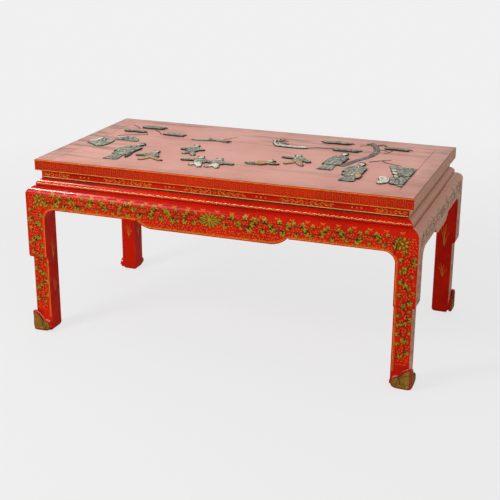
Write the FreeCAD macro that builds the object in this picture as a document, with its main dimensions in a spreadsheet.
import FreeCAD, Part
import math
import os

import Sketcher

# A low red lacquer table with applied stone relief on its top. Millimetres, +Z up.
# The origin is on the floor under the middle of the table, +X along its length and the
# front side towards -Y.

Vector = FreeCAD.Vector
doc = FreeCAD.newDocument("LacquerTable")
sheet = doc.addObject("Spreadsheet::Sheet", "Sizes")

# Driving dimensions

DIMENSIONS = [
    ("table_height", 460, "floor to the top face"),
    ("top_length", 966, "length of the top over its edges"),
    ("top_depth", 512, "depth of the top over its edges"),
    ("edge_height", 28, "height of the frame's flat edge"),
    ("edge_round", 1.6, "rounding of the top's upper edge"),
    ("rail_width", 45, "width of the frame rails"),
    ("panel_thickness", 14, "thickness of the floating panel"),
    ("panel_gap", 0.4, "open joint between panel and rails"),
    ("tongue_depth", 8, "depth of the groove for the panel"),
    ("tongue_height", 6, "height of the panel's tongue"),
    ("frame_tenon_height", 9, "height of the frame's corner tenons"),
    ("frame_tenon_setback", 12, "wood left outside the corner tenons"),
    ("frame_tenon_width", 22, "width of the corner tenons"),
    ("batten_width", 34, "width of the battens"),
    ("batten_lock", 4, "how deep a batten's dovetail stands in the panel"),
    ("batten_slope", 3, "how much wider a dovetail is at its top, each side"),
    ("batten_tenon", 9, "length of the tenons of the battens"),
    ("batten_tenon_height", 8, "height of the tenons of the battens"),
    ("batten_spacing", 270, "distance between battens"),
    ("waist_height", 23, "visible height of the waist"),
    ("waist_setback", 12, "from the top's edge to the face of the waist"),
    ("waist_thickness", 12, "thickness of the waist boards"),
    ("waist_tongue_height", 4, "tongue of the waist in the frame"),
    ("waist_tongue_width", 5, "width of that tongue"),
    ("moulding_height", 17, "height of the moulding under the waist"),
    ("moulding_slope", 10, "height of its sloping upper part"),
    ("moulding_cove", 23, "radius of that slope's hollow"),
    ("shoulder_reach", 20, "how far legs and aprons stand out past the top"),
    ("shoulder_height", 16, "height of the rounded shoulder"),
    ("shoulder_radius", 23, "radius of that shoulder"),
    ("apron_thickness", 30, "thickness of the aprons"),
    ("apron_height", 55, "height of the aprons at their shallow ends"),
    ("apron_drop", 17, "extra height of the middle part"),
    ("front_drop_half", 195, "from the middle to the cusps of a long apron"),
    ("end_drop_half", 82, "from the middle to the cusps of an end apron"),
    ("drop_run", 40, "length of the curve from a cusp to the deep edge"),
    ("drop_radius", 64, "radius of that curve"),
    ("cusp_lift", 3, "how far a cusp bites above the shallow edge"),
    ("cusp_width", 9, "width of the little hollow at a cusp"),
    ("cusp_radius", 8, "radius of that hollow"),
    ("corner_arc", 28, "radius between apron and leg"),
    ("leg_width", 52, "leg section above the step"),
    ("leg_step", 8, "how far the outer faces step in"),
    ("leg_step_height", 204, "height of the step above the floor"),
    ("leg_step_round", 7, "rounding of the step's lower corner"),
    ("apron_tenon", 12, "length of the tenons of the aprons"),
    ("apron_tenon_height", 24, "height of those tenons"),
    ("apron_tenon_width", 9, "thickness of those tenons"),
    ("leg_tenon", 8, "height of the tenon on top of a leg"),
    ("leg_tenon_width", 12, "width of that square tenon"),
    ("foot_tip", 54, "height of the leaf at the outer corner"),
    ("foot_notch", 33, "height of the notch between its lobes"),
    ("foot_end", 22, "height of the leaf at its inner end"),
    ("foot_notch_place", 29, "from the outer corner to the notch"),
    ("lobe_radius", 28, "radius of the leaf's lobes"),
    ("foot_round", 13, "rounding of the foot's lower corners"),
    ("foot_toe", 16, "height up to which the foot is full"),
    ("foot_waist", 1.8, "how far the leaf draws in between tip and toe"),
    ("foot_waist_height", 36, "height of that waist"),
    ("foot_gap", 4, "width of the gap behind the leaf's tip"),
    ("foot_gap_depth", 16, "depth of that gap"),
    ("stone_thickness", 3.2, "thickness of the stone relief"),
    ("stone_head", 5.2, "height of the carved heads"),
    ("stone_bevel", 1.3, "how much the stones draw in towards their top"),
    ("fold_width", 1.8, "width of the folds cut into the stones"),
    ("fold_depth", 1.1, "depth of the folds cut into the stones"),
    ("twig_width", 2.2, "width of the thin branches"),
    ("twig_thickness", 1.2, "thickness of the thin branches"),
    ("overrun", 2, "how far a cut runs past the wood"),
]


class Size:
    """A length with the sheet expression that it comes from."""

    def __init__(self, value, text):
        self.value = value
        self.text = text

    def __add__(self, other):
        return Size(self.value + other.value, f"({self.text} + {other.text})")

    def __sub__(self, other):
        return Size(self.value - other.value, f"({self.text} - {other.text})")

    def __mul__(self, share):
        return Size(self.value * share, f"({self.text} * {share})")

    def __truediv__(self, share):
        return Size(self.value / share, f"({self.text} / {share})")

    def __neg__(self):
        return Size(-self.value, f"(0 - {self.text})")


def fill_sheet():
    """Writes the driving dimensions to the sheet and returns them by name."""
    sizes = {}
    for row, (alias, value, meaning) in enumerate(DIMENSIONS, start=1):
        sheet.set(f"A{row}", meaning)
        sheet.set(f"B{row}", str(value))
        sheet.setAlias(f"B{row}", alias)
        sizes[alias] = Size(value, f"Sizes.{alias}")
    doc.recompute()
    return sizes


size = fill_sheet()
zero = size["overrun"] * 0
overrun = size["overrun"]

# Heights and faces that several pieces share

half_length = size["top_length"] / 2
half_depth = size["top_depth"] / 2
rail_bottom = size["table_height"] - size["edge_height"]
waist_bottom = rail_bottom - size["waist_height"]
moulding_bottom = waist_bottom - size["moulding_height"]
shoulder_bottom = moulding_bottom - size["shoulder_height"]
apron_edge = moulding_bottom - size["apron_height"]
deep_edge = apron_edge - size["apron_drop"]
arc_bottom = apron_edge - size["corner_arc"]
reach_length = half_length + size["shoulder_reach"]
reach_depth = half_depth + size["shoulder_reach"]
neck_face = size["shoulder_reach"] + size["waist_setback"]
waist_back = neck_face + size["waist_thickness"]
tenon_middle = rail_bottom + size["edge_height"] / 2

# The slanted joints of two aprons meet where their backs do, and an apron's tenon stands
# in the lower third of that slant

mitre_lean = size["leg_width"] - size["apron_thickness"]
tenon_seam = size["leg_width"] - mitre_lean / 3
apron_tenon_low = shoulder_bottom - size["apron_tenon_height"]
apron_tenon_front = (size["apron_thickness"] - size["apron_tenon_width"]) / 2


# Sketches

def plane_of(body, role):
    """One of a body's own origin planes."""
    return [item for item in body.Origin.OriginFeatures if item.Role == role][0]


def arc_through(start, end, radius, side):
    """An arc of the given radius from start to end, bulging to the left for side 1."""
    chord = end - start
    half = chord.Length / 2
    rise = radius - math.sqrt(max(radius * radius - half * half, 0.0))
    across = Vector(-chord.y, chord.x, 0).normalize()
    middle = (start + end) / 2 + across * rise * side
    # A sketch holds its arcs anticlockwise
    return Part.Arc(end, middle, start) if side > 0 else Part.Arc(start, middle, end)


def sketch_outline(body, role, name, points, arcs=None, height=None):
    """A closed outline on an origin plane, each corner bound to the sheet.

    points are pairs of Size, and arcs gives, for the stretch after a point, the radius
    and the side to which it bulges. height lifts the sketch off its plane.
    """
    arcs = arcs or {}
    sketch = body.newObject("Sketcher::SketchObject", name)
    sketch.AttachmentSupport = [(plane_of(body, role), "")]
    sketch.MapMode = "FlatFace"
    if height is not None:
        sketch.setExpression("AttachmentOffset.Base.z", height.text)
    corners = [Vector(x.value, y.value, 0) for x, y in points]
    count = len(corners)
    ends = []
    for index, corner in enumerate(corners):
        following = corners[(index + 1) % count]
        if index in arcs:
            radius, side = arcs[index]
            edge = arc_through(corner, following, radius.value, side)
        else:
            edge = Part.LineSegment(corner, following)
        number = sketch.addGeometry(edge, False)
        drawn = sketch.Geometry[number]
        forward = (drawn.StartPoint - corner).Length < (drawn.EndPoint - corner).Length
        ends.append((number, 1 if forward else 2, 2 if forward else 1))
    for index, (number, first, last) in enumerate(ends):
        after, after_first, _ = ends[(index + 1) % count]
        sketch.addConstraint(Sketcher.Constraint("Coincident", number, last, after, after_first))
        for kind, place in zip(("DistanceX", "DistanceY"), points[index]):
            held = sketch.addConstraint(
                Sketcher.Constraint(kind, -1, 1, number, first, place.value)
            )
            sketch.setExpression(f"Constraints[{held}]", place.text)
        if index in arcs:
            held = sketch.addConstraint(
                Sketcher.Constraint("Radius", number, arcs[index][0].value)
            )
            sketch.setExpression(f"Constraints[{held}]", arcs[index][0].text)
    return sketch


# Features

def new_body(label):
    """An empty body, which takes its piece's label."""
    body = doc.addObject("PartDesign::Body", "Body_" + label)
    body.Label = label
    doc.recompute()
    return body


def pad(body, sketch, length, reverse=False, both=False):
    """Adds wood: the outline drawn out by a length."""
    feature = body.newObject("PartDesign::Pad", "Pad")
    feature.Profile = sketch
    feature.SideType = "Symmetric" if both else "One side"
    feature.Reversed = reverse
    feature.setExpression("Length", length.text)
    doc.recompute()
    return feature


def pocket(body, sketch, length, reverse=False, both=False):
    """Cuts wood away, and stops the build if nothing was cut."""
    before = body.Shape.Volume
    feature = body.newObject("PartDesign::Pocket", "Pocket")
    feature.Profile = sketch
    feature.SideType = "Symmetric" if both else "One side"
    feature.Reversed = reverse
    feature.setExpression("Length", length.text)
    doc.recompute()
    if not body.Shape.Volume < before:
        raise RuntimeError(f"a cut missed the wood: {body.Label} {sketch.Name}")
    return feature


def mirror(body, features, role):
    """Repeats features on the other side of an origin plane."""
    feature = body.newObject("PartDesign::Mirrored", "Mirrored")
    feature.Originals = features
    feature.MirrorPlane = (plane_of(body, role), [""])
    doc.recompute()
    body.Tip = feature
    doc.recompute()
    return feature


def round_edges(body, chosen, radius, kind="PartDesign::Fillet"):
    """Rounds the edges whose middles the test picks."""
    base = body.Tip
    names = []
    for number, edge in enumerate(base.Shape.Edges, start=1):
        if chosen(edge):
            names.append(f"Edge{number}")
    feature = body.newObject(kind, "Round")
    feature.Base = (base, names)
    feature.setExpression("Radius", radius.text)
    doc.recompute()
    return feature


def rectangle(left, bottom, right, top):
    """The four corners of a rectangle."""
    return [(left, bottom), (right, bottom), (right, top), (left, top)]


def near(first, second):
    """Whether two places along an axis are the same."""
    return abs(first - second) < overrun.value / 100


# Each rail, board, strip and apron is modelled lying along X with its outer face at
# Y = 0 and its back towards +Y, and then turned to its side of the table.

SIDES = {
    "front": (0, "length"),
    "back": (180, "length"),
    "left": (270, "depth"),
    "right": (90, "depth"),
}


def place_side(piece, side, half_along_y, half_along_x):
    """Turns a piece to its side and moves its outer face out to the given reach."""
    angle, run = SIDES[side]
    reach = half_along_y if run == "length" else half_along_x
    turn = FreeCAD.Rotation(Vector(0, 0, 1), angle)
    piece.Placement = FreeCAD.Placement(turn.multVec(Vector(0, -1, 0)) * reach.value, turn)


# Top frame

def frame_rail(side):
    """A mitred rail of the top frame, grooved for the panel and for the waist."""
    long_rail = SIDES[side][1] == "length"
    half = half_length if long_rail else half_depth
    body = new_body(("frame_rail_" if long_rail else "frame_end_") + side)
    top = size["table_height"]
    width = size["rail_width"]
    groove_bottom = top - size["panel_thickness"]
    groove_top = groove_bottom + size["tongue_height"]
    groove_back = width - size["tongue_depth"]
    slot_middle = size["waist_setback"] + size["waist_thickness"] / 2
    slot_front = slot_middle - size["waist_tongue_width"] / 2
    slot_back = slot_middle + size["waist_tongue_width"] / 2
    slot_top = rail_bottom + size["waist_tongue_height"]
    section = [
        (zero, rail_bottom),
        (slot_front, rail_bottom),
        (slot_front, slot_top),
        (slot_back, slot_top),
        (slot_back, rail_bottom),
        (width, rail_bottom),
        (width, groove_bottom),
        (groove_back, groove_bottom),
        (groove_back, groove_top),
        (width, groove_top),
        (width, top),
        (size["edge_round"], top),
        (zero, top - size["edge_round"]),
    ]
    profile = sketch_outline(
        body, "YZ_Plane", "Section", section, {11: (size["edge_round"], -1)}
    )
    pad(body, profile, half * 2, both=True)
    corner = [
        (half, zero),
        (half + overrun, zero),
        (half + overrun, width + overrun),
        (half - width - overrun, width + overrun),
    ]
    mitre = pocket(
        body,
        sketch_outline(body, "XY_Plane", "Mitre", corner),
        size["table_height"] + overrun,
        reverse=True,
    )
    mirror(body, [mitre], "YZ_Plane")
    tenon_front = size["frame_tenon_setback"]
    tenon_back = tenon_front + size["frame_tenon_width"]
    tenon_low = tenon_middle - size["frame_tenon_height"] / 2
    if long_rail:
        tenon = pad(
            body,
            sketch_outline(
                body,
                "XY_Plane",
                "Tenon",
                rectangle(half - tenon_back, tenon_front, half - tenon_front, tenon_back),
                height=tenon_low,
            ),
            size["frame_tenon_height"],
        )
        mirror(body, [tenon], "YZ_Plane")
        sockets = []
        for name, place in (("Middle", zero), ("Side", size["batten_spacing"])):
            sockets.append(batten_socket(body, name, place))
        mirror(body, [sockets[1]], "YZ_Plane")
    else:
        mortise = pocket(
            body,
            sketch_outline(
                body,
                "XY_Plane",
                "Mortise",
                rectangle(half - tenon_back, tenon_front, half, tenon_back),
                height=tenon_low,
            ),
            size["frame_tenon_height"],
            reverse=True,
        )
        mirror(body, [mortise], "YZ_Plane")
    leg_socket(body, half)
    place_side(body, side, half_depth, half_length)


def batten_socket(body, name, place):
    """The socket for a batten's tenon, under the panel's groove."""
    half_width = size["batten_width"] / 2
    return pocket(
        body,
        sketch_outline(
            body,
            "XY_Plane",
            "Socket" + name,
            rectangle(
                place - half_width,
                size["rail_width"] - size["batten_tenon"],
                place + half_width,
                size["rail_width"] + overrun,
            ),
            height=rail_bottom,
        ),
        size["batten_tenon_height"],
        reverse=True,
    )


def leg_socket(body, half):
    """The mortises for the tenons on top of the legs, one at each end."""
    start = size["waist_setback"] + (size["leg_width"] - neck_face - size["leg_tenon_width"]) / 2
    socket = pocket(
        body,
        sketch_outline(
            body,
            "XY_Plane",
            "LegSocket",
            rectangle(
                half - start - size["leg_tenon_width"],
                start,
                half - start,
                start + size["leg_tenon_width"],
            ),
            height=rail_bottom,
        ),
        size["leg_tenon"],
        reverse=True,
    )
    mirror(body, [socket], "YZ_Plane")


# Top panel and battens

def top_panel():
    """The floating panel, with a tongue all round and dovetail grooves below."""
    body = new_body("top_panel")
    half_x = half_length - size["rail_width"]
    half_y = half_depth - size["rail_width"]
    low = size["table_height"] - size["panel_thickness"]
    gap = size["panel_gap"]
    reach = size["tongue_depth"] - gap
    pad(
        body,
        sketch_outline(
            body,
            "XY_Plane",
            "Field",
            rectangle(gap - half_x, gap - half_y, half_x - gap, half_y - gap),
            height=low,
        ),
        size["panel_thickness"],
    )
    pad(
        body,
        sketch_outline(
            body,
            "XY_Plane",
            "Tongue",
            rectangle(-half_x - reach, -half_y - reach, half_x + reach, half_y + reach),
            height=low,
        ),
        size["tongue_height"],
    )
    grooves = []
    for name, place in (("Middle", zero), ("Side", size["batten_spacing"])):
        profile = sketch_outline(
            body, "XZ_Plane", "Groove" + name, dovetail(place, low, low + size["batten_lock"])
        )
        grooves.append(pocket(body, profile, size["top_depth"], both=True))
    mirror(body, [grooves[1]], "YZ_Plane")


def dovetail(place, low, high):
    """The section of a dovetail that is wider at its top."""
    half_low = size["batten_width"] / 2 - size["batten_slope"]
    half_high = size["batten_width"] / 2
    return [
        (place - half_low, low),
        (place + half_low, low),
        (place + half_high, high),
        (place - half_high, high),
    ]


def batten(label, place):
    """A batten that slides in the panel's dovetail and stands in both long rails."""
    body = new_body(label)
    low = size["table_height"] - size["panel_thickness"]
    half_run = half_depth - size["rail_width"]
    half_width = size["batten_width"] / 2
    pad(
        body,
        sketch_outline(
            body, "XZ_Plane", "Lock", dovetail(zero, low, low + size["batten_lock"])
        ),
        half_run * 2,
        both=True,
    )
    pad(
        body,
        sketch_outline(
            body,
            "XZ_Plane",
            "Bar",
            rectangle(-half_width, rail_bottom, half_width, low),
        ),
        half_run * 2,
        both=True,
    )
    pad(
        body,
        sketch_outline(
            body,
            "XZ_Plane",
            "Tenons",
            rectangle(
                -half_width, rail_bottom, half_width, rail_bottom + size["batten_tenon_height"]
            ),
        ),
        (half_run + size["batten_tenon"]) * 2,
        both=True,
    )
    body.Placement = FreeCAD.Placement(Vector(place.value, 0, 0), FreeCAD.Rotation())


# Waist boards and moulding strips

def waist_board(side):
    """A waist board between two leg necks, with a tongue up into the frame."""
    long_side = SIDES[side][1] == "length"
    half = (half_length if long_side else half_depth) - size["waist_setback"]
    neck = size["leg_width"] - neck_face
    body = new_body("waist_" + side)
    face = size["waist_setback"]
    back = face + size["waist_thickness"]
    middle = (face + back) / 2
    half_tongue = size["waist_tongue_width"] / 2
    section = [
        (face, waist_bottom),
        (back, waist_bottom),
        (back, rail_bottom),
        (middle + half_tongue, rail_bottom),
        (middle + half_tongue, rail_bottom + size["waist_tongue_height"]),
        (middle - half_tongue, rail_bottom + size["waist_tongue_height"]),
        (middle - half_tongue, rail_bottom),
        (face, rail_bottom),
    ]
    pad(
        body,
        sketch_outline(body, "YZ_Plane", "Section", section),
        (half - neck) * 2,
        both=True,
    )
    place_side(body, side, half_depth, half_length)


def moulding_strip(side):
    """A moulding strip, mitred in front of the leg necks and notched beside them."""
    long_side = SIDES[side][1] == "length"
    half = (half_length if long_side else half_depth) + size["shoulder_reach"]
    body = new_body("moulding_" + side)
    face = size["shoulder_reach"]
    slope_bottom = waist_bottom - size["moulding_slope"]
    section = [
        (face, moulding_bottom),
        (waist_back, moulding_bottom),
        (waist_back, waist_bottom),
        (neck_face, waist_bottom),
        (face, slope_bottom),
    ]
    pad(
        body,
        sketch_outline(
            body, "YZ_Plane", "Section", section, {3: (size["moulding_cove"], -1)}
        ),
        (half - face) * 2,
        both=True,
    )
    leg_side = half - size["leg_width"]
    notch = [
        (half - face, face),
        (half + overrun, face),
        (half + overrun, waist_back + overrun),
        (leg_side, waist_back + overrun),
        (leg_side, neck_face),
        (half - neck_face, neck_face),
    ]
    cut = pocket(
        body,
        sketch_outline(body, "XY_Plane", "Notch", notch),
        size["table_height"],
        reverse=True,
    )
    mirror(body, [cut], "YZ_Plane")
    place_side(body, side, reach_depth, reach_length)


# Aprons

def shoulder_cut(body, role, name):
    """The outline outside the rounded shoulder of the aprons and legs."""
    return sketch_outline(
        body,
        role,
        name,
        [
            (zero, shoulder_bottom),
            (size["shoulder_reach"], moulding_bottom),
            (size["shoulder_reach"], moulding_bottom + overrun),
            (-overrun, moulding_bottom + overrun),
            (-overrun, shoulder_bottom),
        ],
        {0: (size["shoulder_radius"], 1)},
    )


def apron(side):
    """An apron with a deep middle part, cusps, corner arcs and slanted ends."""
    long_side = SIDES[side][1] == "length"
    half = reach_length if long_side else reach_depth
    cusp = size["front_drop_half"] if long_side else size["end_drop_half"]
    deep = cusp - size["drop_run"]
    leg_side = half - size["leg_width"]
    arc = size["corner_arc"]
    body = new_body("apron_" + side)
    right = [
        (deep, deep_edge),
        (cusp - size["cusp_width"] / 2, apron_edge - size["cusp_lift"]),
        (cusp, apron_edge + size["cusp_lift"]),
        (cusp + size["cusp_width"], apron_edge),
        (leg_side - arc, apron_edge),
        (leg_side, arc_bottom),
        (leg_side + mitre_lean, moulding_bottom),
    ]
    left = [(-x, z) for x, z in reversed(right)]
    points = right + left
    last = len(points) - 1
    arcs = {
        0: (size["drop_radius"], -1),
        1: (size["cusp_width"], 1),
        2: (size["cusp_radius"], -1),
        4: (arc, 1),
        last - 5: (arc, 1),
        last - 3: (size["cusp_radius"], -1),
        last - 2: (size["cusp_width"], 1),
        last - 1: (size["drop_radius"], -1),
    }
    pad(
        body,
        sketch_outline(body, "XZ_Plane", "Outline", points, arcs),
        size["apron_thickness"],
        reverse=True,
    )
    pocket(body, shoulder_cut(body, "YZ_Plane", "Shoulder"), half * 2, both=True)
    tenon_end = half - tenon_seam + size["apron_tenon"]
    tenon = pad(
        body,
        sketch_outline(
            body,
            "XZ_Plane",
            "Tenon",
            rectangle(leg_side, apron_tenon_low, tenon_end, shoulder_bottom),
            height=-apron_tenon_front,
        ),
        size["apron_tenon_width"],
        reverse=True,
    )
    mirror(body, [tenon], "YZ_Plane")
    place_side(body, side, reach_depth, reach_length)


# Legs. A leg is modelled with its outer corner at X = 0, Y = 0 and the wood towards
# +X and +Y, and its two outer faces are alike.

CORNERS = {
    "front_left": (0, -1, -1),
    "front_right": (90, 1, -1),
    "back_right": (180, 1, 1),
    "back_left": (270, -1, 1),
}


def square(start, end):
    """A square that has the leg's diagonal for its own."""
    return rectangle(start, start, end, end)


def leg(corner):
    """A leg with a stepped face, slanted seats for two aprons, a neck and a leaf foot."""
    body = new_body("leg_" + corner)
    full = size["leg_width"]
    step = size["leg_step"]
    pad(
        body,
        sketch_outline(body, "XY_Plane", "Lower", square(step, full)),
        size["leg_step_height"],
    )
    pad(
        body,
        sketch_outline(
            body, "XY_Plane", "Upper", square(zero, full), height=size["leg_step_height"]
        ),
        moulding_bottom - size["leg_step_height"],
    )

    def under_step(edge):
        box = edge.BoundBox
        level = near(box.ZMin, size["leg_step_height"].value) and near(box.ZMin, box.ZMax)
        outer = near(box.XMax, 0) or near(box.YMax, 0)
        return level and outer

    round_edges(body, under_step, size["leg_step_round"])
    pad(
        body,
        sketch_outline(
            body, "XY_Plane", "Neck", square(neck_face, full), height=moulding_bottom
        ),
        rail_bottom - moulding_bottom,
    )
    tenon_start = neck_face + (full - neck_face - size["leg_tenon_width"]) / 2
    pad(
        body,
        sketch_outline(
            body,
            "XY_Plane",
            "Tenon",
            square(tenon_start, tenon_start + size["leg_tenon_width"]),
            height=rail_bottom,
        ),
        size["leg_tenon"],
    )
    for role, name in (("YZ_Plane", "ShoulderFront"), ("XZ_Plane", "ShoulderSide")):
        pocket(
            body,
            shoulder_cut(body, role, name),
            full,
            reverse=role == "YZ_Plane",
        )
    for role, name in (("XZ_Plane", "SeatFront"), ("YZ_Plane", "SeatSide")):
        apron_seat(body, role, name)
    leaf_foot(body)
    angle, along, across = CORNERS[corner]
    turn = FreeCAD.Rotation(Vector(0, 0, 1), angle)
    outer = Vector(along * reach_length.value, across * reach_depth.value, 0)
    body.Placement = FreeCAD.Placement(outer, turn)


def apron_seat(body, role, name):
    """The slanted seat of one apron, and the mortise for its tenon."""
    full = size["leg_width"]
    front = role == "XZ_Plane"
    seat = [
        (full, arc_bottom),
        (full + overrun, arc_bottom),
        (full + overrun, moulding_bottom),
        (full - mitre_lean, moulding_bottom),
    ]
    pocket(
        body,
        sketch_outline(body, role, name, seat),
        size["apron_thickness"],
        reverse=not front,
    )
    mortise_end = tenon_seam - size["apron_tenon"]
    mortise = rectangle(mortise_end, apron_tenon_low, full, shoulder_bottom)
    pocket(
        body,
        sketch_outline(
            body,
            role,
            name + "Mortise",
            mortise,
            height=-apron_tenon_front if front else apron_tenon_front,
        ),
        size["apron_tenon_width"],
        reverse=not front,
    )


def leaf_foot(body):
    """The carved leaf that wraps the foot's outer corner and curls out at its tip."""
    full = size["leg_width"]
    step = size["leg_step"]
    tip = size["foot_tip"]
    notch = (size["foot_notch_place"], size["foot_notch"])
    leaf = [
        (zero, zero),
        (full, zero),
        (full, size["foot_end"]),
        notch,
        (step, tip),
        (zero, tip),
    ]
    lobes = {2: (size["lobe_radius"], -1), 3: (size["lobe_radius"], -1)}
    for role, name in (("XZ_Plane", "LeafFront"), ("YZ_Plane", "LeafSide")):
        pad(
            body,
            sketch_outline(body, role, name, leaf, lobes),
            step,
            reverse=role == "XZ_Plane",
        )
    outside = [
        (size["foot_round"], zero),
        (zero, size["foot_round"]),
        (zero, size["foot_toe"]),
        (size["foot_waist"], size["foot_waist_height"]),
        (zero, tip),
        (-overrun, tip),
        (-overrun, -overrun),
        (size["foot_round"], -overrun),
    ]
    curl = {0: (size["foot_round"], -1), 2: (tip, 1), 3: (tip, 1)}
    gap_front = step - size["foot_gap"]
    gap = [
        (gap_front, tip + overrun),
        (gap_front, tip - size["foot_gap_depth"] / 2),
        (step, tip - size["foot_gap_depth"]),
        (step, tip + overrun),
    ]
    for role, name in (("YZ_Plane", "CurlFront"), ("XZ_Plane", "CurlSide")):
        side = role == "YZ_Plane"
        pocket(body, sketch_outline(body, role, name, outside, curl), full, reverse=side)
    for role, name in (("YZ_Plane", "GapFront"), ("XZ_Plane", "GapSide")):
        side = role == "YZ_Plane"
        sketch = sketch_outline(
            body, role, name, gap, height=gap_front if side else -gap_front
        )
        pocket(body, sketch, full - gap_front, reverse=side)

    def inner_toe(edge):
        box = edge.BoundBox
        level = near(box.ZMax, 0) and near(box.ZMin, 0)
        return level and (near(box.XMin, full.value) or near(box.YMin, full.value))

    round_edges(body, inner_toe, size["foot_round"])


# Stone relief on the top. A place on the top is a share of its length (from its left
# edge) and of its depth (from its front edge). An outline runs anticlockwise round a
# stone, in shares of the box that a standing figure fills, from the place of the group.

figure_width_share = 0.176
figure_height_share = 0.332
figure_width = size["top_length"] * figure_width_share
figure_height = size["top_depth"] * figure_height_share

# Outlines of the stones that make up the figures, rocks, birds and pines

STONE_SHARES = {
    "skirt": [
        (-0.130, 0.000), (-0.060, -0.020), (0.090, -0.020), (0.160, 0.020),
        (0.130, 0.130), (0.125, 0.250), (0.000, 0.232), (-0.110, 0.250),
        (-0.115, 0.120),
    ],
    "coat": [
        (-0.170, 0.285), (-0.110, 0.258), (0.000, 0.240), (0.125, 0.258),
        (0.170, 0.285), (0.155, 0.385), (0.190, 0.425), (0.178, 0.600),
        (0.150, 0.710), (0.090, 0.785), (0.030, 0.815), (-0.030, 0.815),
        (-0.090, 0.785), (-0.160, 0.700), (-0.210, 0.600), (-0.210, 0.445),
        (-0.155, 0.410),
    ],
    "head_standing": [
        (-0.030, 0.823), (0.030, 0.823), (0.058, 0.855), (0.062, 0.900),
        (0.050, 0.935), (-0.050, 0.935), (-0.062, 0.900), (-0.058, 0.855),
    ],
    "cap": [
        (-0.062, 0.941), (0.062, 0.941), (0.066, 0.965), (0.030, 0.995),
        (-0.030, 0.995), (-0.066, 0.965),
    ],
    "scarf": [
        (0.185, 0.150), (0.220, 0.150), (0.230, 0.300), (0.205, 0.395),
        (0.182, 0.300),
    ],
    "bag": [(0.155, 0.100), (0.195, 0.120), (0.200, 0.225), (0.142, 0.235)],
    "back_lying": [
        (-0.050, -0.100), (0.030, -0.105), (0.120, -0.060), (0.215, -0.035),
        (0.222, 0.000), (0.130, 0.018), (0.060, 0.022), (0.020, 0.045),
        (-0.030, 0.020), (-0.060, -0.030),
    ],
    "legs_lying": [
        (-0.240, -0.110), (-0.150, -0.125), (-0.058, -0.105), (-0.068, -0.030),
        (-0.120, -0.010), (-0.200, -0.045), (-0.240, -0.070),
    ],
    "rock_left": [
        (-0.150, -0.140), (-0.060, -0.200), (0.050, -0.270), (0.140, -0.260),
        (0.190, -0.110), (0.175, 0.130), (0.080, 0.155), (0.000, 0.210),
        (-0.080, 0.260), (-0.165, 0.120), (-0.190, -0.060),
    ],
    "rock_behind": [
        (-0.150, -0.120), (-0.090, -0.105), (0.020, -0.095), (0.140, -0.130),
        (0.220, -0.105), (0.190, 0.010), (0.090, 0.120), (-0.050, 0.150),
        (-0.150, 0.105), (-0.200, -0.020),
    ],
    "swallow": [
        (-0.320, -0.085), (-0.180, -0.110), (-0.040, -0.060), (0.080, -0.030),
        (0.200, -0.055), (0.320, -0.075), (0.330, -0.045), (0.260, 0.030),
        (0.200, 0.045), (0.100, 0.030), (0.020, 0.075), (-0.100, 0.115),
        (-0.160, 0.050), (-0.280, -0.030),
    ],
    "crane_wing": [
        (-0.200, -0.106), (-0.094, -0.141), (0.118, -0.147), (0.280, -0.130),
        (0.318, -0.080), (0.260, -0.035), (0.080, -0.035), (-0.080, -0.024),
        (-0.172, 0.005),
    ],
    "crane_body": [
        (-0.165, 0.022), (-0.080, -0.010), (0.060, -0.018), (0.050, 0.020),
        (-0.020, 0.070), (-0.120, 0.110), (-0.200, 0.100),
    ],
    "crane_neck": [
        (-0.290, 0.040), (-0.218, -0.085), (-0.196, 0.000), (-0.230, 0.050),
        (-0.255, 0.100), (-0.262, 0.165), (-0.300, 0.190), (-0.350, 0.215),
        (-0.310, 0.150),
    ],
    "robe_high": [
        (0.130, -0.012), (0.198, -0.012), (0.198, 0.420), (0.170, 0.500),
        (0.020, 0.530), (-0.130, 0.540), (-0.210, 0.510), (-0.130, 0.350),
        (-0.020, 0.330), (-0.015, 0.200), (0.030, 0.090),
    ],
    "arm_high": [
        (-0.080, 0.080), (-0.015, 0.030), (0.008, 0.065), (-0.040, 0.165),
        (-0.105, 0.175),
    ],
    "seat_low": [
        (-0.200, -0.210), (-0.165, -0.310), (-0.176, -0.435), (-0.118, -0.470),
        (-0.020, -0.420), (0.055, -0.375), (0.020, -0.260), (-0.040, -0.155),
        (-0.118, -0.070), (-0.200, -0.106),
    ],
    "robe_low": [
        (0.068, -0.380), (0.100, -0.450), (0.198, -0.455), (0.198, -0.030),
        (0.125, -0.040), (0.080, -0.100), (0.010, -0.112), (-0.022, -0.145),
        (0.033, -0.260),
    ],
}

# Folds, ridges and feathers cut into the stones: start and end of each

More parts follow.
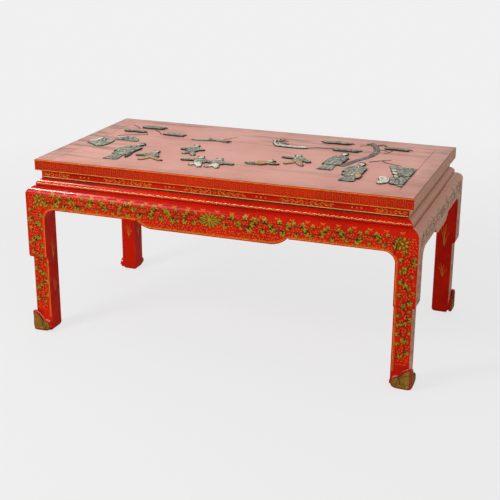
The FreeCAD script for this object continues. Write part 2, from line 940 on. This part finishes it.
FOLD_SHARES = {
    "skirt": [
        ((-0.080, 0.215), (-0.095, 0.030)), ((-0.035, 0.205), (-0.040, 0.015)),
        ((0.015, 0.205), (0.025, 0.015)), ((0.070, 0.210), (0.095, 0.020)),
    ],
    "coat": [
        ((-0.075, 0.740), (-0.115, 0.320)), ((-0.020, 0.770), (-0.035, 0.290)),
        ((0.045, 0.760), (0.045, 0.300)), ((0.090, 0.720), (0.115, 0.330)),
        ((-0.140, 0.640), (-0.175, 0.480)), ((0.145, 0.640), (0.155, 0.460)),
    ],
    "back_lying": [((-0.030, -0.070), (-0.010, 0.010)), ((0.030, -0.070), (0.180, -0.020))],
    "legs_lying": [((-0.090, -0.060), (-0.200, -0.085))],
    "rock_left": [
        ((-0.095, 0.170), (-0.020, -0.150)), ((0.020, 0.150), (0.090, -0.200)),
        ((-0.130, 0.020), (-0.080, -0.100)), ((0.120, 0.080), (0.140, -0.100)),
    ],
    "rock_behind": [
        ((-0.120, 0.070), (-0.050, -0.060)), ((-0.030, 0.110), (0.050, -0.060)),
        ((0.080, 0.080), (0.140, -0.080)),
    ],
    "swallow": [
        ((-0.100, 0.080), (-0.030, -0.020)), ((-0.140, 0.020), (-0.100, -0.070)),
        ((0.150, 0.010), (0.290, -0.050)), ((0.090, 0.000), (0.190, -0.030)),
    ],
    "crane_wing": [
        ((-0.120, -0.050), (0.100, -0.060)), ((-0.080, -0.090), (0.240, -0.070)),
        ((0.040, -0.120), (0.260, -0.105)),
    ],
    "robe_high": [
        ((-0.130, 0.500), (-0.060, 0.380)), ((-0.050, 0.490), (0.060, 0.160)),
        ((0.040, 0.480), (0.110, 0.080)), ((0.130, 0.440), (0.160, 0.060)),
    ],
    "seat_low": [((-0.150, -0.140), (-0.060, -0.380)), ((-0.080, -0.130), (-0.020, -0.300))],
    "robe_low": [((0.060, -0.150), (0.110, -0.380)), ((0.120, -0.120), (0.160, -0.400))],
    "pine": [
        ((-0.380, 0.200), (-0.400, 0.420)), ((-0.240, 0.160), (-0.260, 0.640)),
        ((-0.120, 0.140), (-0.140, 0.560)), ((0.000, 0.120), (-0.010, 0.860)),
        ((0.120, 0.140), (0.130, 0.600)), ((0.240, 0.160), (0.220, 0.640)),
        ((0.380, 0.200), (0.400, 0.420)),
    ],
}

# A pine pad in a unit box, foot at 0: flat below, with fans of needles above

PINE_SHARES = [
    (-0.500, 0.250), (-0.300, 0.050), (0.000, 0.000), (0.300, 0.050), (0.500, 0.250),
    (0.460, 0.500), (0.340, 0.500), (0.300, 0.780), (0.140, 0.720), (0.060, 1.000),
    (-0.080, 0.980), (-0.160, 0.720), (-0.320, 0.760), (-0.360, 0.500), (-0.460, 0.500),
]

# A seated or playing head in a unit box about its middle

HEAD_SHARES = [
    (-0.25, -0.50), (0.25, -0.50), (0.50, -0.15), (0.50, 0.20), (0.25, 0.50),
    (-0.25, 0.50), (-0.50, 0.20), (-0.50, -0.15),
]

# The standing and seated people, the one that lies, the rocks and the birds: the place
# of each group and its stones, then 1 or -1 for the way it faces

GROUP_SHARES = {
    "figure_left": ((0.178, 0.142), ("skirt", "coat", "head_standing", "cap", "scarf"), 1),
    "figure_under_tree": ((0.733, 0.330), ("skirt", "coat", "head_standing", "cap"), -1),
    "figure_tall": ((0.810, 0.170), ("skirt", "coat", "head_standing", "cap", "bag"), 1),
    "child_lying": ((0.566, 0.335), ("back_lying", "legs_lying"), 1),
    "rock_left": ((0.071, 0.440), ("rock_left",), 1),
    "rock_behind": ((0.125, 0.545), ("rock_behind",), 1),
    "swallow": ((0.351, 0.675), ("swallow",), 1),
    "crane": ((0.571, 0.720), ("crane_wing", "crane_body", "crane_neck"), 1),
    "seated_pair": ((0.916, 0.328), ("robe_high", "arm_high", "seat_low", "robe_low"), 1),
}

# Heads that lie beside those stones: the middle and the size of each

LOOSE_HEAD_SHARES = {
    "child_lying": [((0.096, 0.098), 0.124)],
    "seated_pair": [((-0.085, 0.262), 0.104), ((0.030, -0.042), 0.104)],
}

# Children at play: the place of the group, then the middle of the head, the hip, the left
# and right hands and the left and right feet of each child

PLAY_SHARES = {
    "child_left": (
        (0.266, 0.250),
        [
            (
                (0.000, 0.235), (0.010, 0.035), (-0.190, 0.030),
                (0.150, 0.075), (-0.050, -0.190), (0.220, -0.150),
            ),
        ],
    ),
    "child_middle": (
        (0.345, 0.440),
        [
            (
                (-0.020, 0.215), (0.010, -0.020), (-0.160, 0.025),
                (0.155, 0.045), (-0.040, -0.210), (0.130, -0.240),
            ),
        ],
    ),
    "children_group": (
        (0.428, 0.245),
        [
            (
                (-0.150, 0.190), (-0.110, -0.020), (-0.350, 0.020),
                (0.010, 0.060), (-0.160, -0.200), (-0.020, -0.230),
            ),
            (
                (0.150, 0.180), (0.190, -0.020), (0.075, 0.010),
                (0.390, 0.010), (0.120, -0.210), (0.260, -0.215),
            ),
        ],
    ),
    "child_right": (
        (0.638, 0.425),
        [
            (
                (-0.020, 0.250), (0.040, 0.045), (-0.200, 0.150),
                (0.200, 0.010), (-0.085, -0.160), (0.165, -0.195),
            ),
        ],
    ),
}

# The make of a child at play: half widths of the neck, chest, waist, wrist and foot, the
# distance from the head down to the neck, the fork of the legs below the hip and the seam

play_head_share = 0.124
play_neck_share = 0.040
play_chest_share = 0.058
play_waist_share = 0.066
play_wrist_share = 0.024
play_foot_share = 0.026
play_collar_share = 0.074
play_chest_low_share = 0.300
play_fork_share = 0.075
play_seam_share = 0.008

# Pine pads: place of the foot, then the width and height as shares of a figure

PINE_PLACE_SHARES = {
    "pine_left_high": ((0.137, 0.806), 0.43, 0.20),
    "pine_left_low": ((0.104, 0.701), 0.43, 0.15),
    "pine_left_near": ((0.226, 0.695), 0.41, 0.20),
    "pine_right_high": ((0.685, 0.835), 0.53, 0.19),
    "pine_right_low": ((0.731, 0.700), 0.47, 0.20),
    "pine_far_right": ((0.857, 0.814), 0.44, 0.17),
}

# Branches and the trunk: places along the run, then the width at its start as a share
# of a thin branch

TWIG_SHARES = {
    "branches_left": [
        ([(0.060, 0.850), (0.078, 0.830), (0.096, 0.785)], 1.3),
        ([(0.156, 0.780), (0.176, 0.742), (0.186, 0.705)], 1.3),
        ([(0.080, 0.600), (0.110, 0.634), (0.134, 0.662)], 1.3),
    ],
    "branches_middle": [([(0.380, 0.735), (0.390, 0.755), (0.403, 0.795)], 1.0)],
    "branches_right": [
        ([(0.836, 0.735), (0.845, 0.760), (0.848, 0.785)], 1.4),
        ([(0.824, 0.545), (0.845, 0.585), (0.865, 0.552), (0.900, 0.522)], 1.4),
    ],
    "tree_trunk": [
        (
            [
                (0.781, 0.460), (0.789, 0.548), (0.806, 0.640), (0.811, 0.740),
                (0.803, 0.810), (0.790, 0.870), (0.778, 0.920),
            ],
            8.5,
        ),
    ],
}


def on_top(along_share, back_share):
    """A place on the top face, given in shares of its length and depth."""
    return Vector(
        ((size["top_length"] * along_share) - half_length).value,
        ((size["top_depth"] * back_share) - half_depth).value,
        size["table_height"].value,
    )


def on_figure(places):
    """Places given in shares of a standing figure's box."""
    return [Vector(x * figure_width.value, y * figure_height.value, 0) for x, y in places]


def drawn_in(places, inset):
    """The outline inside another one, each side moved in by the same distance."""
    inner = []
    for before, place, after in zip(places[-1:] + places[:-1], places, places[1:] + places[:1]):
        first = (place - before).normalize()
        second = (after - place).normalize()
        half = (Vector(-first.y, first.x, 0) + Vector(-second.y, second.x, 0)).normalize()
        lean = half.dot(Vector(-first.y, first.x, 0))
        inner.append(place + half * (inset / lean))
    return inner


def closed_wire(places):
    """A closed outline of straight sides."""
    return Part.makePolygon(places + places[:1])


def fold(start, end, crown):
    """The wedge that cuts a fold into a stone's crown."""
    way = (end - start).normalize()
    across = Vector(-way.y, way.x, 0) * size["fold_width"].value / 2
    level = start + Vector(0, 0, crown)
    bottom = level - Vector(0, 0, size["fold_depth"].value)
    high = Vector(0, 0, overrun.value)
    outline = [level - across, bottom, level + across, level + across + high, level - across + high]
    return Part.Face(closed_wire(outline)).extrude(end - start)


def stone(places, rise, folds=()):
    """A stone with sloping edges: its outline on the top, drawn in at its crown."""
    crown = [place + Vector(0, 0, rise) for place in drawn_in(places, size["stone_bevel"].value)]
    shape = Part.makeLoft([closed_wire(places), closed_wire(crown)], True, True)
    for start, end in folds:
        shape = shape.cut(fold(start, end, rise))
    return shape


def relief(label, place, stones):
    """One applied group of stones as a sub-part, with its own origin at its place."""
    feature = doc.addObject("Part::Feature", "relief_" + label)
    feature.Label = "relief_" + label
    feature.Shape = stones[0] if len(stones) == 1 else Part.makeCompound(stones)
    feature.Placement = FreeCAD.Placement(place, FreeCAD.Rotation())


def facing(outline, way):
    """An outline turned to face the other way where way is -1."""
    return outline if way > 0 else [(-x, y) for x, y in outline][::-1]


def drawn_stone(name, way):
    """A stone from its outline and folds."""
    places = on_figure(facing(STONE_SHARES[name], way))
    folds = [on_figure(facing(pair, way)) for pair in FOLD_SHARES.get(name, ())]
    raised = name.startswith(("head", "cap"))
    return stone(places, size["stone_head" if raised else "stone_thickness"].value, folds)


def head(middle, head_share):
    """A head that stands out further than the dress."""
    x, y = middle
    places = on_figure([(x + a * head_share, y + b * head_share) for a, b in HEAD_SHARES])
    return stone(places, size["stone_head"].value)


def groups():
    """The standing, seated and lying people, the rocks and the birds."""
    for label, (place, names, way) in GROUP_SHARES.items():
        stones = [drawn_stone(name, way) for name in names]
        for middle, head_share in LOOSE_HEAD_SHARES.get(label, ()):
            stones.append(head(middle, head_share))
        relief(label, on_top(*place), stones)


def hand_corners(shoulder, hand):
    """The two corners of a sleeve's cuff, to the left of the arm's way first."""
    way = (hand - shoulder).normalize()
    left = Vector(-way.y, way.x, 0) * play_wrist_share
    return hand + left, hand - left


def playing_child(face, hip, left_hand, right_hand, left_foot, right_foot):
    """The jacket, trousers and head of a child at play."""
    face, hip, left_hand, right_hand, left_foot, right_foot = (
        Vector(x, y, 0) for x, y in (face, hip, left_hand, right_hand, left_foot, right_foot)
    )
    neck = face + (hip - face).normalize() * play_collar_share
    chest = neck + (hip - neck) * (1 - play_chest_low_share)
    right = Vector(1, 0, 0)
    left_low, left_high = hand_corners(neck, left_hand)
    right_high, right_low = hand_corners(neck, right_hand)
    jacket = [
        hip - right * play_waist_share,
        hip + right * play_waist_share,
        chest + right * play_chest_share,
        right_low,
        right_high,
        neck + right * play_neck_share,
        neck - right * play_neck_share,
        left_high,
        left_low,
        chest - right * play_chest_share,
    ]
    belt = hip - Vector(0, play_seam_share, 0)
    trousers = [
        belt - right * play_waist_share,
        left_foot - right * play_foot_share,
        left_foot + right * play_foot_share,
        belt - Vector(0, play_fork_share, 0),
        right_foot - right * play_foot_share,
        right_foot + right * play_foot_share,
        belt + right * play_waist_share,
    ]
    folds = [(neck, hip), (chest, (chest + left_hand) / 2), (chest, (chest + right_hand) / 2)]
    stones = []
    for outline, cuts in ((jacket, folds), (trousers, ())):
        places = on_figure([(place.x, place.y) for place in outline])
        cut_places = [on_figure([(place.x, place.y) for place in pair]) for pair in cuts]
        stones.append(stone(places, size["stone_thickness"].value, cut_places))
    stones.append(head((face.x, face.y), play_head_share))
    return stones


def children():
    """The children at play."""
    for label, (place, poses) in PLAY_SHARES.items():
        stones = []
        for pose in poses:
            stones.extend(playing_child(*pose))
        relief(label, on_top(*place), stones)


def pines():
    """The pads of pine needles."""
    for label, (place, width_share, height_share) in PINE_PLACE_SHARES.items():
        outline, *folds = (
            on_figure([(x * width_share, y * height_share) for x, y in places])
            for places in (PINE_SHARES, *FOLD_SHARES["pine"])
        )
        pad = stone(outline, size["stone_thickness"].value, folds)
        relief(label, on_top(*place), [pad])


def twig(places, width, rise):
    """A branch along a route that thins towards its end, in one piece."""
    left = []
    right = []
    for index, place in enumerate(places):
        before = places[max(index - 1, 0)]
        after = places[min(index + 1, len(places) - 1)]
        across = Vector(before.y - after.y, after.x - before.x, 0).normalize()
        taper = 1 - index / len(places) / 2
        left.append(place + across * width / 2 * taper)
        right.append(place - across * width / 2 * taper)
    return Part.Face(closed_wire(left + right[::-1])).extrude(Vector(0, 0, rise))


def branches():
    """The trunk of the pine on the right, and thin branches."""
    for label, routes in TWIG_SHARES.items():
        place = on_top(*routes[0][0][0])
        twigs = []
        for route, width_share in routes:
            places = [on_top(*share) - place for share in route]
            width = size["twig_width"].value * width_share
            twigs.append(twig(places, width, size["twig_thickness"].value))
        relief(label, place, twigs)


def build_table():
    """Makes every sub-part."""
    for side in SIDES:
        frame_rail(side)
        waist_board(side)
        moulding_strip(side)
        apron(side)
    top_panel()
    for label, place in (
        ("batten_left", -size["batten_spacing"]),
        ("batten_middle", zero),
        ("batten_right", size["batten_spacing"]),
    ):
        batten(label, place)
    for corner in CORNERS:
        leg(corner)
    groups()
    children()
    pines()
    branches()


def sub_parts():
    """The finished sub-parts: every body, and every shape that stands by itself."""
    return [
        item
        for item in doc.Objects
        if item.TypeId in ("PartDesign::Body", "Part::Feature")
    ]


def check_and_export():
    """Checks each object, then writes each sub-part to its own file."""
    for item in doc.Objects:
        if "Invalid" in item.State or "Error" in item.State:
            raise RuntimeError(f"failed object: {item.Name} {item.State}")
    for item in sub_parts():
        if item.Shape.isNull() or not item.Shape.isValid() or not item.Shape.Solids:
            raise RuntimeError(f"bad shape: {item.Label}")
    os.makedirs("parts", exist_ok=True)
    for item in sub_parts():
        item.Shape.exportStep(f"parts/{item.Label}.step")
    print(f"{len(sub_parts())} sub-parts written")


build_table()
doc.recompute()
check_and_export()
